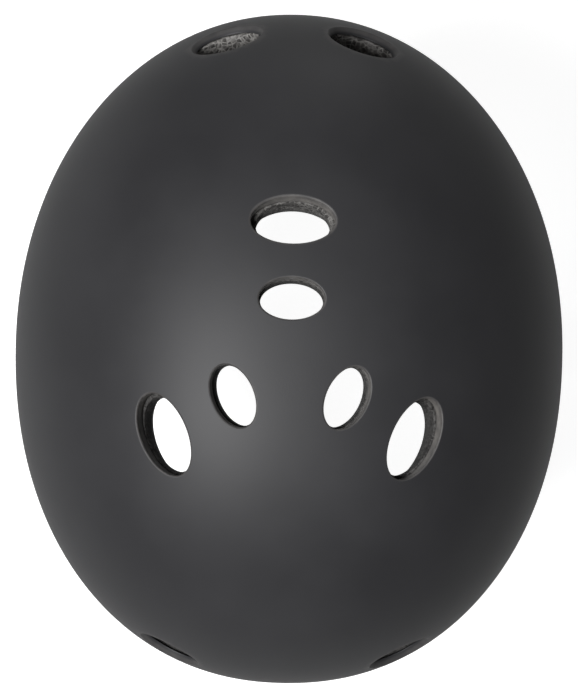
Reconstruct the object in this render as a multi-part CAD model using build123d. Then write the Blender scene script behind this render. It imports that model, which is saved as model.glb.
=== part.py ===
from build123d import *
import os
from math import asin, atan2, cos, hypot, pi, radians, sin, sqrt

# Skateboard helmet for a head about 57 cm round, with its pads and chin strap. Millimetres, +Z up.
# The wearer faces -Y, so +X is the wearer's left. The origin is the centre of the head cavity, level
# with the widest section of the shell. The chin strap hangs unbuckled, one half at each side.

# Outer shell: its widest section seen from above, and the dome over it
shell_half_width = 109.0
shell_front_reach = 134.5
shell_rear_reach = 132.0
shell_crown_height = 103.0
skirt_depth = 200.0
front_squareness = 2.06
rear_squareness = 2.14
dome_squareness = 2.2
shell_wall = 2.6
shell_edge_radius = 0.9

# Rim line seen from the side: level brow, straight fall with an arch over the ear, level nape
brow_rim_height = -18.0
nape_rim_height = -61.0
fall_front_y = -78.0
fall_rear_y = 76.0
ear_front_y = -30.0
ear_arch_y = 2.0
ear_rear_y = 30.0
ear_arch_rise = 7.5
brow_corner_radius = 50.0
ear_end_radius = 12.0
ear_arch_radius = 45.0
nape_corner_radius = 50.0

# Vents: two over the brow, two along the middle, two inner and two outer behind them, two low at the rear
large_vent_length = 32.5
large_vent_width = 18.8
small_vent_length = 24.8
small_vent_width = 15.7
brow_vent_length = 29.5
rear_vent_length = 27.5
end_vent_width = 20.0
# around: bearing of the vent on the dome from +X, down: angle from the crown, bearing: plan direction
# of its long axis, lean_around and lean: bearing of its own axis and angle from upright, ledges: how far
# the liner's opening stands in from the shell's at its ends and its sides, collar: a turned-in collar.
vents = [
    {"around": -90.0, "down": 21.4, "long": large_vent_length, "short": large_vent_width,
     "bearing": 0.0, "lean_around": -90.0, "lean": 17.0, "paired": False,
     "ledges": (2.2, 0.5), "collar": True},
    {"around": -90.0, "down": 8.6, "long": small_vent_length, "short": small_vent_width,
     "bearing": 0.0, "lean_around": -90.0, "lean": 7.0, "paired": False,
     "ledges": (0.5, 0.5), "collar": True},
    {"around": 38.0, "down": 13.2, "long": small_vent_length, "short": small_vent_width,
     "bearing": 114.0, "lean_around": 0.0, "lean": 8.0, "paired": True,
     "ledges": (0.5, 0.5), "collar": True},
    {"around": 33.8, "down": 28.6, "long": large_vent_length, "short": large_vent_width,
     "bearing": 114.0, "lean_around": -5.0, "lean": 17.5, "paired": True,
     "ledges": (1.5, 0.5), "collar": True},
    {"around": -77.6, "down": 66.8, "long": brow_vent_length, "short": end_vent_width,
     "bearing": 17.5, "lean_around": -73.0, "lean": 62.0, "paired": True,
     "ledges": (1.0, 1.0), "collar": False},
    {"around": 69.0, "down": 74.8, "long": rear_vent_length, "short": end_vent_width,
     "bearing": -28.0, "lean_around": 64.0, "lean": 76.0, "paired": True,
     "ledges": (1.0, 1.0), "collar": False},
]
vent_edge_radius = 0.8
collar_wall = 2.4
collar_depth = 6.5
liner_vent_straight = 15.0
liner_vent_flare = 6.0
liner_vent_flare_end = 40.0

# Foam liner
liner_fit = 0.2
liner_side = 22.0
liner_ends = 24.0
liner_crown = 22.0
liner_rim_rise = 4.0

# Comfort pads: a thin sewn hem carries raised cushions with channels between them. Widths and heights
# are those of one cushion with its hem, turns and downs are bearings and angles from the crown.
pad_thickness = 7.5
pad_hem = 2.2
pad_hem_thickness = 2.2
pad_corner_radius = 8.0
pad_crown_radius = 3.6
pad_clearance = 0.3
brow_pad_width = 47.0
brow_pad_height = 25.0
brow_pad_turn = 23.5
nape_pad_width = 39.0
nape_pad_height = 31.0
nape_pad_turn = 19.0
nape_pad_down = 116.0
side_pad_width = 39.0
side_pad_height = 25.0
side_pad_turn = 12.6
side_pad_down = 94.0
crown_pad_width = 24.0
crown_pad_length = 34.0
rear_crown_pad_width = 27.0
rear_crown_pad_length = 34.0
rear_crown_pad_turn = 10.5
tangent_step = 0.001
patch_fit = 0.1
patch_thickness = 1.2
patch_radius = 7.5

# Webbing and its four riveted ends
strap_width = 19.0
strap_thickness = 1.4
layer_gap = 0.1
front_exit_y = -50.0
rear_exit_y = 44.0
hinge_drop = 1.8
hinge_gap = 0.3
rivet_rise = 17.0
tab_half_length = 9.5
tab_gap = 1.2
tab_pocket_margin = 1.0
pocket_clearance = 0.7
rivet_shank_radius = 2.4
rivet_hole_radius = 2.5
rivet_head_radius = 5.5
rivet_head_height = 1.0
rivet_tail_radius = 4.0
rivet_tail_height = 1.2
washer_radius = 6.5
washer_thickness = 1.0
stack_fit = 0.05

# Dividers that join the front and rear straps below the ear
divider_top = -98.0
divider_height = 26.0
divider_top_width = 52.0
divider_bottom_width = 27.0
divider_thickness = 6.4
divider_corner_radius = 4.0
divider_edge_radius = 0.8
divider_entry_offset = 10.5
divider_tuck = 12.0
divider_clearance = 0.4
grip_rib_length = 15.0
grip_rib_radius = 0.8
grip_rib_pitch = 3.6
grip_rib_count = 4

# Chin straps: two layers of webbing from the divider, looped round a bar of the buckle
fold_gap = 0.3
chin_strap_length = 46.0
bar_radius = 1.8
bar_clearance = 0.25
loop_taper = 10.0
tail_length = 34.0

# Side-release buckle, hanging with its mating ends down
buckle_width = 30.0
buckle_corner_radius = 2.6
bar_to_body = 6.5
cheek_clearance = 0.5
socket_thickness = 9.0
socket_length = 28.0
socket_wall = 1.7
socket_mouth_width = 25.0
mouth_scallop_radius = 11.0
mouth_scallop_depth = 3.0
plug_thickness = 7.4
plug_base_height = 8.0
tongue_width = 6.0
tongue_thickness = 3.4
tongue_length = 23.0
tongue_nose_radius = 2.0
latch_y = 10.4
latch_width = 3.0
latch_depth = 4.6
latch_length = 25.0
latch_knuckle_radius = 2.0
latch_knuckle_rise = 4.0
latch_fit = 0.1
latch_swing_room = 1.2
latch_barb = 2.4
latch_barb_height = 8.0
latch_barb_flat = 3.0
latch_nose = 1.6

# Keeper that holds the loose tail against the chin strap
keeper_height = 7.0
keeper_wall = 1.4
keeper_clearance = 0.25
keeper_corner_radius = 1.2
keeper_rise = 17.0

overrun = 40.0
grid_margin = 14.0
surface_points = 33
surface_tolerance = 0.01

left, right = 1, -1
fall_slope = (nape_rim_height - brow_rim_height) / (fall_rear_y - fall_front_y)
chin_thickness = 2 * strap_thickness + layer_gap
loop_radius = bar_radius + bar_clearance
divider_bottom = divider_top - divider_height
fold_z = divider_bottom - fold_gap - chin_thickness / 2
bar_z = fold_z - chin_strap_length
body_z = bar_z - bar_to_body
latch_z = body_z - plug_base_height + latch_knuckle_rise
latch_reach = latch_length - latch_knuckle_rise


def fall_height(y):
    # Height of the straight fall line of the rim.
    return brow_rim_height + fall_slope * (y - fall_front_y)


def reaches(theta, inset):
    # Squareness and fore-aft reach of the widest section on the bearing theta.
    front = sin(theta) < 0
    squareness = front_squareness if front else rear_squareness
    return squareness, (shell_front_reach if front else shell_rear_reach) - inset


def dome_point(down, theta, side=0, ends=0, crown=0):
    # Point of the dome at an angle down from the crown and a bearing, taken in by three insets.
    squareness, reach = reaches(theta, ends)
    half_width, height, depth = shell_half_width - side, shell_crown_height - crown, skirt_depth - side
    across, along = abs(cos(theta)) / half_width, abs(sin(theta)) / reach
    plan = (across ** squareness + along ** squareness) ** (-1 / squareness)
    if down <= pi / 2:
        fit = (sin(down) ** dome_squareness + cos(down) ** dome_squareness) ** (-1 / dome_squareness)
        out, up = sin(down) * fit, height * cos(down) * fit
    else:
        below = (down - pi / 2) * height / depth
        out, up = cos(below), -depth * sin(below)
    return Vector(plan * out * cos(theta), plan * out * sin(theta), up)


def side_reach(y, z, inset):
    # How far the dome reaches to the side at y and z.
    squareness, reach = reaches(-pi / 2 if y < 0 else pi / 2, inset)
    if z >= 0:
        height_share = z / (shell_crown_height - inset)
        out = (1 - height_share ** dome_squareness) ** (1 / dome_squareness)
    else:
        out = sqrt(1 - (z / (skirt_depth - inset)) ** 2)
    rest = out ** squareness - (abs(y) / reach) ** squareness
    return (shell_half_width - inset) * rest ** (1 / squareness)


def outward(point):
    # Unit normal of the outer dome at a point of its left side.
    squareness, reach = reaches(-pi / 2 if point.Y < 0 else pi / 2, 0)
    x, y = point.X / shell_half_width, abs(point.Y) / reach
    plan = (x ** squareness + y ** squareness) ** (1 / squareness)
    power = dome_squareness if point.Z >= 0 else 2
    height = shell_crown_height if point.Z >= 0 else skirt_depth
    across = plan ** (power - squareness)
    up = abs(point.Z / height) ** (power - 1) / height
    return Vector(
        x ** (squareness - 1) / shell_half_width * across,
        (1 if point.Y > 0 else -1) * y ** (squareness - 1) / reach * across,
        up if point.Z >= 0 else -up,
    ).normalized()


def dome(side, ends, crown):
    # Everything under the dome surface, down to a level below the rim.
    lowest = nape_rim_height - grid_margin
    deepest = (grid_margin - lowest) / (skirt_depth - side)
    span = pi / 2 + asin(deepest) * (skirt_depth - side) / (shell_crown_height - crown)
    steps = [span * (2 * i / (surface_points - 1) - 1) for i in range(surface_points)]
    rows = [[dome_point(hypot(u, v), atan2(v, u), side, ends, crown) for v in steps] for u in steps]
    surface = Face.make_surface_from_array_of_points(rows, tol=surface_tolerance, min_deg=3, max_deg=3)
    top = shell_crown_height + grid_margin
    width, length = 2 * (shell_half_width + grid_margin), 2 * (shell_front_reach + grid_margin)
    block = Pos(0, 0, (top + lowest) / 2) * Box(width, length, top - lowest)
    pieces = block.split(surface, keep=Keep.BOTH)
    return Part() + min(pieces, key=lambda piece: piece.bounding_box().size.X)


def even_dome(inset):
    return dome(inset, inset, inset)


def head_dome(depth):
    # The dome that lies depth inside the liner's head side.
    base = shell_wall + liner_fit + depth
    return dome(base + liner_side, base + liner_ends, base + liner_crown)


def over_rim(rise):
    # Everything above the rim line, seen from the side, raised by rise.
    end_y = shell_front_reach + grid_margin
    top = shell_crown_height + 2 * grid_margin
    corners = [
        (-end_y, brow_rim_height),
        (fall_front_y, brow_rim_height),
        (ear_front_y, fall_height(ear_front_y)),
        (ear_arch_y, fall_height(ear_arch_y) + ear_arch_rise),
        (ear_rear_y, fall_height(ear_rear_y)),
        (fall_rear_y, nape_rim_height),
        (end_y, nape_rim_height),
    ]
    radii = [brow_corner_radius, ear_end_radius, ear_arch_radius, ear_end_radius, nape_corner_radius]
    rim = FilletPolyline(*[(y, z + rise) for y, z in corners], radius=radii)
    cover = Polyline((end_y, nape_rim_height + rise), (end_y, top), (-end_y, top),
                     (-end_y, brow_rim_height + rise))
    outline = make_face([*rim.edges(), *cover.edges()])
    return extrude(Plane.YZ * outline, shell_half_width + grid_margin, both=True)


def vent_plane(vent, hand):
    # Plane across a vent on the outer surface, its normal along the vent's own axis.
    point = dome_point(radians(vent["down"]), radians(vent["around"]))
    lean, bearing, around = (radians(vent[key]) for key in ("lean", "bearing", "lean_around"))
    axis = Vector(hand * sin(lean) * cos(around), sin(lean) * sin(around), cos(lean))
    return Plane((hand * point.X, point.Y, point.Z), x_dir=(hand * cos(bearing), sin(bearing), 0), z_dir=axis)


def each_vent():
    # Every vent with its hand: the paired ones come twice.
    return [(vent, hand) for vent in vents for hand in ((left, right) if vent["paired"] else (left,))]


def vent_prism(vent, hand, grow_ends, grow_sides):
    # Straight oval prism through the helmet's wall at a vent.
    oval = Ellipse(vent["long"] / 2 + grow_ends, vent["short"] / 2 + grow_sides)
    return extrude(vent_plane(vent, hand).offset(-overrun) * oval, 2 * overrun)


def collar_prisms(grow):
    return [vent_prism(vent, hand, grow, grow) for vent, hand in each_vent() if vent["collar"]]


def liner_vent(vent, hand):
    # The liner's opening: straight below the shell, then widening towards the head.
    end_ledge, side_ledge = vent["ledges"]
    plane, half_long, half_short = vent_plane(vent, hand), vent["long"] / 2, vent["short"] / 2
    near = plane.offset(-liner_vent_straight) * Ellipse(half_long - end_ledge, half_short - side_ledge)
    far = plane.offset(-liner_vent_flare_end) * Ellipse(
        half_long + liner_vent_flare, half_short + liner_vent_flare)
    return vent_prism(vent, hand, -end_ledge, -side_ledge) + loft([near, far], ruled=True)


class StrapEnd:
    # One strap leg of the left side, from its rivet behind the shell past the rim to the divider.
    def __init__(self, exit_y, entry_y, layer):
        self.slope = Vector(0, 1, fall_slope).normalized()
        self.exit = Vector(0, exit_y, fall_height(exit_y) - hinge_drop)
        entry = Vector(layer * (strap_thickness + layer_gap) / 2, entry_y, divider_top)
        self.along = (entry - self.exit).normalized()
        self.length = (entry - self.exit).length + divider_tuck
        self.half_cut = strap_width / 2 / self.along.cross(self.slope).length
        outer_y = exit_y + self.half_cut * (1 if exit_y > 0 else -1)
        self.room = side_reach(outer_y, self.exit.Z, shell_wall) - liner_fit - strap_thickness / 2

    def hang(self, hinge_x):
        # Places the hinge line, the rivet and the two planes that the riveted end turns between.
        self.exit = Vector(hinge_x, self.exit.Y, self.exit.Z)
        foot = self.exit - self.along * rivet_rise
        seat = Vector(side_reach(foot.Y, foot.Z, 0), foot.Y, foot.Z)
        normal = outward(seat)
        self.flat_along = (self.along - normal * self.along.dot(normal)).normalized()
        level = (self.slope - normal * self.slope.dot(normal)).normalized()
        back = seat - normal * (shell_wall + tab_gap + strap_thickness / 2)
        self.rivet_plane = Plane(seat, z_dir=normal)
        self.flat_plane = Plane(back, x_dir=level, z_dir=level.cross(normal))
        self.flat_half_cut = strap_width / 2 / self.flat_along.cross(level).length
        down = self.slope.cross(Vector(1, 0, 0))
        lift = strap_thickness / 2 + hinge_gap
        self.exit_plane = Plane(self.exit - down * lift, x_dir=self.slope, z_dir=down)
        self.leg_plane = Plane(self.exit, x_dir=self.slope, z_dir=self.slope.cross(self.along))

    def riveted_end(self, widen, inward, outward_by):
        # Flat behind the shell, then turning to hang straight at the rim.
        shift = Pos(0, (outward_by - inward) / 2)
        thickness = strap_thickness + inward + outward_by
        middle = self.flat_plane * shift * Rectangle(2 * (self.flat_half_cut + widen), thickness)
        top = Pos(self.flat_along * (-tab_half_length - widen)) * middle
        low = Pos(self.flat_along * tab_half_length) * middle
        rim = self.exit_plane * shift * Rectangle(2 * (self.half_cut + widen), thickness)
        return loft([top, low], ruled=True) + loft([low, rim], ruled=True)

    def leg_prism(self, widen, thickness):
        # The straight run from the hinge line to its end inside the divider.
        run_x = self.along.dot(self.leg_plane.x_dir) * self.length
        run_y = self.along.dot(self.leg_plane.y_dir) * self.length
        half = self.half_cut + widen
        outline = Polyline((-half, 0), (half, 0), (half + run_x, run_y), (run_x - half, run_y), close=True)
        return extrude(self.leg_plane * make_face(outline), thickness / 2, both=True)


strap_ends = {
    "front": StrapEnd(front_exit_y, -divider_entry_offset, left),
    "rear": StrapEnd(rear_exit_y, divider_entry_offset, right),
}
hinge_x = min(end.room for end in strap_ends.values())
for strap_end in strap_ends.values():
    strap_end.hang(hinge_x)
side_on = Plane((hinge_x, 0, 0), x_dir=(0, 1, 0), z_dir=(1, 0, 0))
edge_on = Plane((hinge_x, 0, 0), x_dir=(1, 0, 0), z_dir=(0, -1, 0))


def on_side(part, hand):
    # The left part itself, or its mirror image for the right side.
    return part if hand == left else mirror(part, about=Plane.YZ)


def make_shell():
    hollow = even_dome(shell_wall)
    hollow -= collar_prisms(collar_wall)
    hollow += even_dome(collar_depth)
    shell = (even_dome(0) & over_rim(0)) - hollow
    holes = [extrude(end.rivet_plane * Circle(rivet_hole_radius), collar_depth, both=True)
             for end in strap_ends.values()]
    shell -= [vent_prism(vent, hand, 0, 0) for vent, hand in each_vent()]
    shell -= [on_side(hole, hand) for hole in holes for hand in (left, right)]
    outer = max(shell.faces(), key=lambda face: face.area)
    lips = [edge for wire in outer.inner_wires() if wire.length > 2 * pi * washer_radius
            for edge in wire.edges()]
    shell = fillet(lips, vent_edge_radius)
    outer = max(shell.faces(), key=lambda face: face.area)
    return fillet(outer.outer_wire().edges(), shell_edge_radius)


def make_liner():
    liner = even_dome(shell_wall + liner_fit)
    liner -= collar_prisms(collar_wall + liner_fit)
    liner += even_dome(collar_depth + liner_fit)
    liner &= over_rim(liner_rim_rise)
    liner -= head_dome(0)
    liner -= [liner_vent(vent, hand) for vent, hand in each_vent()]
    room_in = washer_thickness + rivet_tail_height + 2 * stack_fit + pocket_clearance
    pockets = [end.riveted_end(tab_pocket_margin, room_in, tab_pocket_margin + shell_wall)
               for end in strap_ends.values()]
    liner -= [on_side(pocket, hand) for pocket in pockets for hand in (left, right)]
    return liner


def head_place(around, down, lengthwise):
    # Place on the liner's head side, its third axis outwards and its first level or fore and aft.
    base = shell_wall + liner_fit
    insets = base + liner_side, base + liner_ends, base + liner_crown
    theta, angle = radians(around), radians(down)
    point = dome_point(angle, theta, *insets)
    sideways = dome_point(angle, theta + tangent_step, *insets) - point
    downwards = dome_point(angle + tangent_step, theta, *insets) - point
    normal = downwards.cross(sideways)
    return Plane(point, x_dir=(0, 1, 0) if lengthwise else sideways, z_dir=normal).location


def pad_places():
    # Each pad's name, the places of its cushions, and the size of one cushion with its share of hem.
    return [
        ("brow_pad", [head_place(-90 + turn, 90, False) for turn in (-brow_pad_turn, 0, brow_pad_turn)],
         brow_pad_width, brow_pad_height),
        ("nape_pad", [head_place(90 + turn, nape_pad_down, False) for turn in (-nape_pad_turn, 0, nape_pad_turn)],
         nape_pad_width, nape_pad_height),
        ("side_pad", [head_place(turn, side_pad_down, False) for turn in (-side_pad_turn, side_pad_turn)],
         side_pad_width, side_pad_height),
        ("crown_pad", [head_place(-56, 41, True), head_place(-33, 28, True)],
         crown_pad_length, crown_pad_width),
        ("rear_crown_pad", [head_place(90 - rear_crown_pad_turn, 36, False),
                            head_place(90 + rear_crown_pad_turn, 36, False)],
         rear_crown_pad_width, rear_crown_pad_length),
    ]


def make_pad(places, width, height, layer, hem_layer):
    # A thin hem with crowned cushions side by side on it, following the liner's curve.
    pad = Part()
    for place in places:
        outline = RectangleRounded(width, height, pad_corner_radius)
        pad += extrude(place * Pos(0, 0, -overrun) * outline, 2 * overrun) & hem_layer
    for place in places:
        outline = RectangleRounded(width - 2 * pad_hem, height - 2 * pad_hem, pad_corner_radius - pad_hem)
        cushion = extrude(place * Pos(0, 0, -overrun) * outline, 2 * overrun) & layer
        broad = cushion.faces().sort_by(SortBy.AREA)[-2:]
        crown = min(broad, key=lambda face: face.center().length)
        pad += fillet(crown.edges(), pad_crown_radius)
    return pad


def make_pads():
    start = patch_fit + patch_thickness + pad_clearance
    outside, hem_inside, inside = (
        head_dome(start), head_dome(start + pad_hem_thickness), head_dome(start + pad_thickness))
    layer, hem_layer = outside - inside, outside - hem_inside
    pads = {}
    for name, places, width, height in pad_places():
        pad = make_pad(places, width, height, layer, hem_layer)
        if name in ("side_pad", "crown_pad"):
            pads["left_" + name] = pad
            pads["right_" + name] = on_side(pad, right)
        else:
            pads[name] = pad
    return pads


def make_hook_patches():
    # Round patches glued to the liner, one behind each cushion.
    layer = head_dome(patch_fit) - head_dome(patch_fit + patch_thickness)
    patches = []
    for name, places, width, height in pad_places():
        for place in places:
            patch = extrude(place * Pos(0, 0, -overrun) * Circle(patch_radius), 2 * overrun) & layer
            patches.append(patch)
            if name in ("side_pad", "crown_pad"):
                patches.append(on_side(patch, right))
    return Compound(children=[solid for patch in patches for solid in patch.solids()])


def stack_depths():
    # Depths below the outer surface at which the washer and the rivet's formed tail start.
    washer = shell_wall + tab_gap + strap_thickness + stack_fit
    return washer, washer + washer_thickness + stack_fit


def make_riveted_end(end):
    hole = extrude(end.rivet_plane * Circle(rivet_hole_radius), collar_depth, both=True)
    return end.riveted_end(0, 0, 0) - hole


def make_rivet(end):
    # Low domed head outside the shell, shank, and a tail formed over the washer.
    washer, tail = stack_depths()
    low = end.rivet_plane.offset(-tail - rivet_tail_height)
    shank = extrude(low * Circle(rivet_shank_radius), tail + rivet_tail_height + stack_fit)
    formed = extrude(low * Circle(rivet_tail_radius), rivet_tail_height)
    rim, top = stack_fit + rivet_head_height / 3, stack_fit + rivet_head_height
    crown = TangentArc((0, top), (rivet_head_radius, rim), tangent=(1, 0))
    sides = Polyline((rivet_head_radius, rim), (rivet_head_radius, stack_fit), (0, stack_fit), (0, top))
    head = revolve(Plane.XZ * make_face([*crown.edges(), *sides.edges()]), Axis.Z)
    return end.rivet_plane.location * head + shank + formed


def make_washer(end):
    washer, tail = stack_depths()
    plane = end.rivet_plane.offset(-washer - washer_thickness)
    return extrude(plane * (Circle(washer_radius) - Circle(rivet_hole_radius)), washer_thickness)


def four_of(make):
    # The same fastener at the four riveted ends, as separate solids.
    pieces = [on_side(make(end), hand) for end in strap_ends.values() for hand in (left, right)]
    return Compound(children=[solid for piece in pieces for solid in piece.solids()])


def make_leg(end):
    # Flat webbing, its top edge round about the hinge line.
    edge = Cylinder(strap_thickness / 2, 2 * end.half_cut)
    return end.leg_prism(0, strap_thickness) + Plane(end.exit, z_dir=end.slope).location * edge


def make_divider():
    # Tapered moulding that the two straps enter and the chin strap leaves, ribbed outside for grip.
    half_top, half_bottom = divider_top_width / 2, divider_bottom_width / 2
    outline = make_face(Polyline((-half_top, divider_top), (half_top, divider_top),
                                 (half_bottom, divider_bottom), (-half_bottom, divider_bottom), close=True))
    outline = fillet(outline.vertices(), divider_corner_radius)
    body = extrude(side_on * outline, divider_thickness / 2, both=True)
    rims = body.faces().sort_by(Axis.X)[0].edges() + body.faces().sort_by(Axis.X)[-1].edges()
    body = fillet(rims, divider_edge_radius)
    for index in range(grip_rib_count):
        z = divider_top - divider_height / 2 - (index - (grip_rib_count - 1) / 2) * grip_rib_pitch
        rib = Cylinder(grip_rib_radius, grip_rib_length)
        for end in (-1, 1):
            rib += Pos(0, 0, end * grip_rib_length / 2) * Sphere(grip_rib_radius)
        body += Pos(hinge_x + divider_thickness / 2, 0, z) * Rot(90, 0, 0) * rib
    for end in strap_ends.values():
        body -= end.leg_prism(divider_clearance, strap_thickness + 2 * divider_clearance)
    slot_height = divider_height - divider_tuck
    slot = Box(chin_thickness + 2 * divider_clearance, strap_width + 2 * divider_clearance, slot_height)
    return body - Pos(hinge_x, 0, divider_bottom + slot_height / 2) * slot


def make_chin_strap(has_tail):
    # Two layers of webbing with a round top edge, opened into a loop about the buckle's bar.
    half, neck_z, outer_radius = chin_thickness / 2, bar_z + loop_taper, loop_radius + strap_thickness
    loop = Pos(0, bar_z) * Circle(outer_radius)
    profile = make_hull([*loop.edges(), *Line((-half, neck_z), (half, neck_z)).edges()])
    profile += Pos(0, (neck_z + fold_z) / 2) * Rectangle(chin_thickness, fold_z - neck_z)
    profile += Pos(0, fold_z) * Circle(half)
    if has_tail:
        tail = Pos(outer_radius - strap_thickness / 2, bar_z + tail_length / 2)
        profile += tail * Rectangle(strap_thickness, tail_length)
    profile -= Pos(0, bar_z) * Circle(loop_radius)
    return extrude(edge_on * profile, strap_width / 2, both=True)


def buckle_section(thickness):
    return Rot(0, 0, 90) * RectangleRounded(buckle_width, thickness, buckle_corner_radius)


def make_strap_bar(thickness):
    # Bar that the webbing loops round, held by a cheek at each side of the buckle.
    gap = strap_width + 2 * cheek_clearance
    outline = Pos(0, bar_z) * Circle(thickness / 2)
    outline += Pos(0, bar_z - bar_to_body / 2) * Rectangle(thickness, bar_to_body)
    cheeks = extrude(edge_on * outline, buckle_width / 2, both=True)
    cheeks &= Pos(hinge_x, 0, body_z) * extrude(buckle_section(thickness), overrun)
    cheeks -= Pos(hinge_x, 0, body_z + overrun / 2) * Box(2 * thickness, gap, overrun)
    bar = Cylinder(bar_radius, (gap + buckle_width) / 2)
    return cheeks + Pos(hinge_x, 0, bar_z) * Rot(90, 0, 0) * bar


def make_socket():
    # Hollow half: an open mouth below, and a window at each side that the latch barbs spring into.
    mouth_z = body_z - socket_length
    inner_depth, cavity_height = socket_thickness - 2 * socket_wall, socket_length - socket_wall
    window_height = latch_barb_height + 2 * latch_fit
    window_z = mouth_z + latch_reach - latch_barb_height / 2
    body = Pos(hinge_x, 0, body_z) * extrude(buckle_section(socket_thickness), -socket_length)
    body -= Pos(hinge_x, 0, mouth_z + cavity_height / 2) * Box(inner_depth, socket_mouth_width, cavity_height)
    body -= Pos(hinge_x, 0, window_z) * Box(inner_depth, 2 * buckle_width, window_height)
    scallop_z = mouth_z - mouth_scallop_radius + mouth_scallop_depth
    scallop = Rot(0, 90, 0) * Cylinder(mouth_scallop_radius, 2 * socket_thickness)
    body -= Pos(hinge_x, 0, scallop_z) * scallop
    return body + make_strap_bar(socket_thickness)


def make_plug():
    # Solid half: a base with a guide tongue, and a notch at each side for a latch arm's knuckle.
    plug = Pos(hinge_x, 0, body_z) * extrude(buckle_section(plug_thickness), -plug_base_height)
    tongue_top = body_z - plug_base_height / 2
    tongue_bottom = body_z - plug_base_height - tongue_length
    tongue = Pos(0, (tongue_top + tongue_bottom) / 2) * RectangleRounded(
        tongue_width, tongue_top - tongue_bottom, tongue_nose_radius)
    plug += extrude(side_on * tongue, tongue_thickness / 2, both=True)
    slot_width = latch_width + latch_swing_room + latch_fit
    slot_y = latch_y + latch_width / 2 + latch_fit - slot_width / 2
    notch = Pos(slot_y, latch_z - plug_base_height / 2) * Rectangle(slot_width, plug_base_height)
    notch += Pos(latch_y, latch_z) * Circle(latch_knuckle_radius + latch_fit)
    pocket = extrude(side_on * notch, latch_depth / 2 + latch_fit, both=True)
    return plug - [pocket, mirror(pocket, about=Plane.XZ)] + make_strap_bar(plug_thickness)


def make_latch_arm(hand):
    # Springy arm with a round knuckle in the plug's base and a barb near its nose.
    inner, outer = latch_y - latch_width / 2, latch_y + latch_width / 2
    low = latch_z - latch_length
    shoulder = low + latch_barb_height
    outline = make_face(Polyline(
        (inner, latch_z), (outer, latch_z), (outer, shoulder), (outer + latch_barb, shoulder),
        (outer + latch_barb, shoulder - latch_barb_flat), (inner + latch_nose, low), (inner, low), close=True))
    outline += Pos(latch_y, latch_z) * Circle(latch_knuckle_radius)
    arm = mirror(extrude(side_on * outline, latch_depth / 2, both=True), about=Plane.YZ)
    return arm if hand == left else Pos(-hinge_x, 0, 0) * Rot(0, 0, 180) * Pos(hinge_x, 0, 0) * arm


def make_keeper():
    # Moulded loop round the chin strap and its loose tail.
    inside = -chin_thickness / 2 - keeper_clearance
    outside = loop_radius + strap_thickness + keeper_clearance
    depth, width = outside - inside, strap_width + 2 * keeper_clearance
    ring = RectangleRounded(depth + 2 * keeper_wall, width + 2 * keeper_wall, keeper_corner_radius)
    centre = Pos(hinge_x + (inside + outside) / 2, 0, bar_z + keeper_rise)
    return centre * extrude(ring - Rectangle(depth, width), keeper_height / 2, both=True)


def make_parts():
    parts = {"outer_shell": make_shell(), "foam_liner": make_liner()}
    parts.update(make_pads())
    parts["hook_patches"] = make_hook_patches()
    parts["strap_rivets"] = four_of(make_rivet)
    parts["rivet_washers"] = four_of(make_washer)
    divider = make_divider()
    for side, hand in (("left", left), ("right", right)):
        for place, end in strap_ends.items():
            parts[f"{side}_{place}_strap_end"] = on_side(make_riveted_end(end), hand)
            parts[f"{side}_{place}_strap"] = on_side(make_leg(end), hand)
        parts[f"{side}_divider"] = on_side(divider, hand)
    parts["left_chin_strap"] = make_chin_strap(False)
    parts["buckle_socket"] = make_socket()
    parts["right_chin_strap"] = on_side(make_chin_strap(True), right)
    parts["buckle_plug"] = on_side(make_plug(), right)
    parts["front_latch_arm"] = make_latch_arm(right)
    parts["rear_latch_arm"] = make_latch_arm(left)
    parts["strap_keeper"] = on_side(make_keeper(), right)
    return parts


if __name__ == "__main__":
    os.makedirs("parts", exist_ok=True)
    for name, part in make_parts().items():
        export_step(part, f"parts/{name}.step")
        print(name, round(part.volume), len(part.solids()), part.is_valid)
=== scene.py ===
import math
import bmesh
import bpy
import numpy as np
from mathutils import Matrix, Vector, bvhtree, geometry, kdtree


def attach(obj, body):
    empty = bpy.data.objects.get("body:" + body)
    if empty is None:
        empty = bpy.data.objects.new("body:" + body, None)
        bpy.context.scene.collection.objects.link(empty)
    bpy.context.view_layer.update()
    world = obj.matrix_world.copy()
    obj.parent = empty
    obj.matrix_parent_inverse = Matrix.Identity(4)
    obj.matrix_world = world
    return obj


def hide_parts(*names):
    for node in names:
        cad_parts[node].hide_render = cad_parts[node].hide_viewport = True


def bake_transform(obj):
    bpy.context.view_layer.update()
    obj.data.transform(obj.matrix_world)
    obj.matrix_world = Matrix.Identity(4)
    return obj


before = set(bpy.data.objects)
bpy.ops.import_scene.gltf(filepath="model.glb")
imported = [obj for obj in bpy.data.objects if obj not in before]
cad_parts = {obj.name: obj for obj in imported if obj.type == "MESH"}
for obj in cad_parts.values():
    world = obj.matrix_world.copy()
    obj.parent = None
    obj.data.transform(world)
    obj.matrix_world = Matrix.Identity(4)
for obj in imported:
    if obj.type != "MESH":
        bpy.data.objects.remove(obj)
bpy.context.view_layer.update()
print("stage: frame loaded")

# Skateboard helmet, metres, +Z up. The wearer faces -Y and the wearer's left is +X.
form = {
    "halfWidth": 0.109, "frontReach": 0.1345, "rearReach": 0.132, "crownHeight": 0.103, "skirtDepth": 0.2,
    "frontSquareness": 2.06, "rearSquareness": 2.14, "domeSquareness": 2.2,
    "browRim": -0.018, "napeRim": -0.061, "fallFront": -0.078, "fallRear": 0.076,
    "earFront": -0.030, "earArch": 0.002, "earRear": 0.030, "earRise": 0.0075,
    "rimRadii": (0.050, 0.012, 0.045, 0.012, 0.050),
}
fallSlope = (form["napeRim"] - form["browRim"]) / (form["fallRear"] - form["fallFront"])


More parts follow.
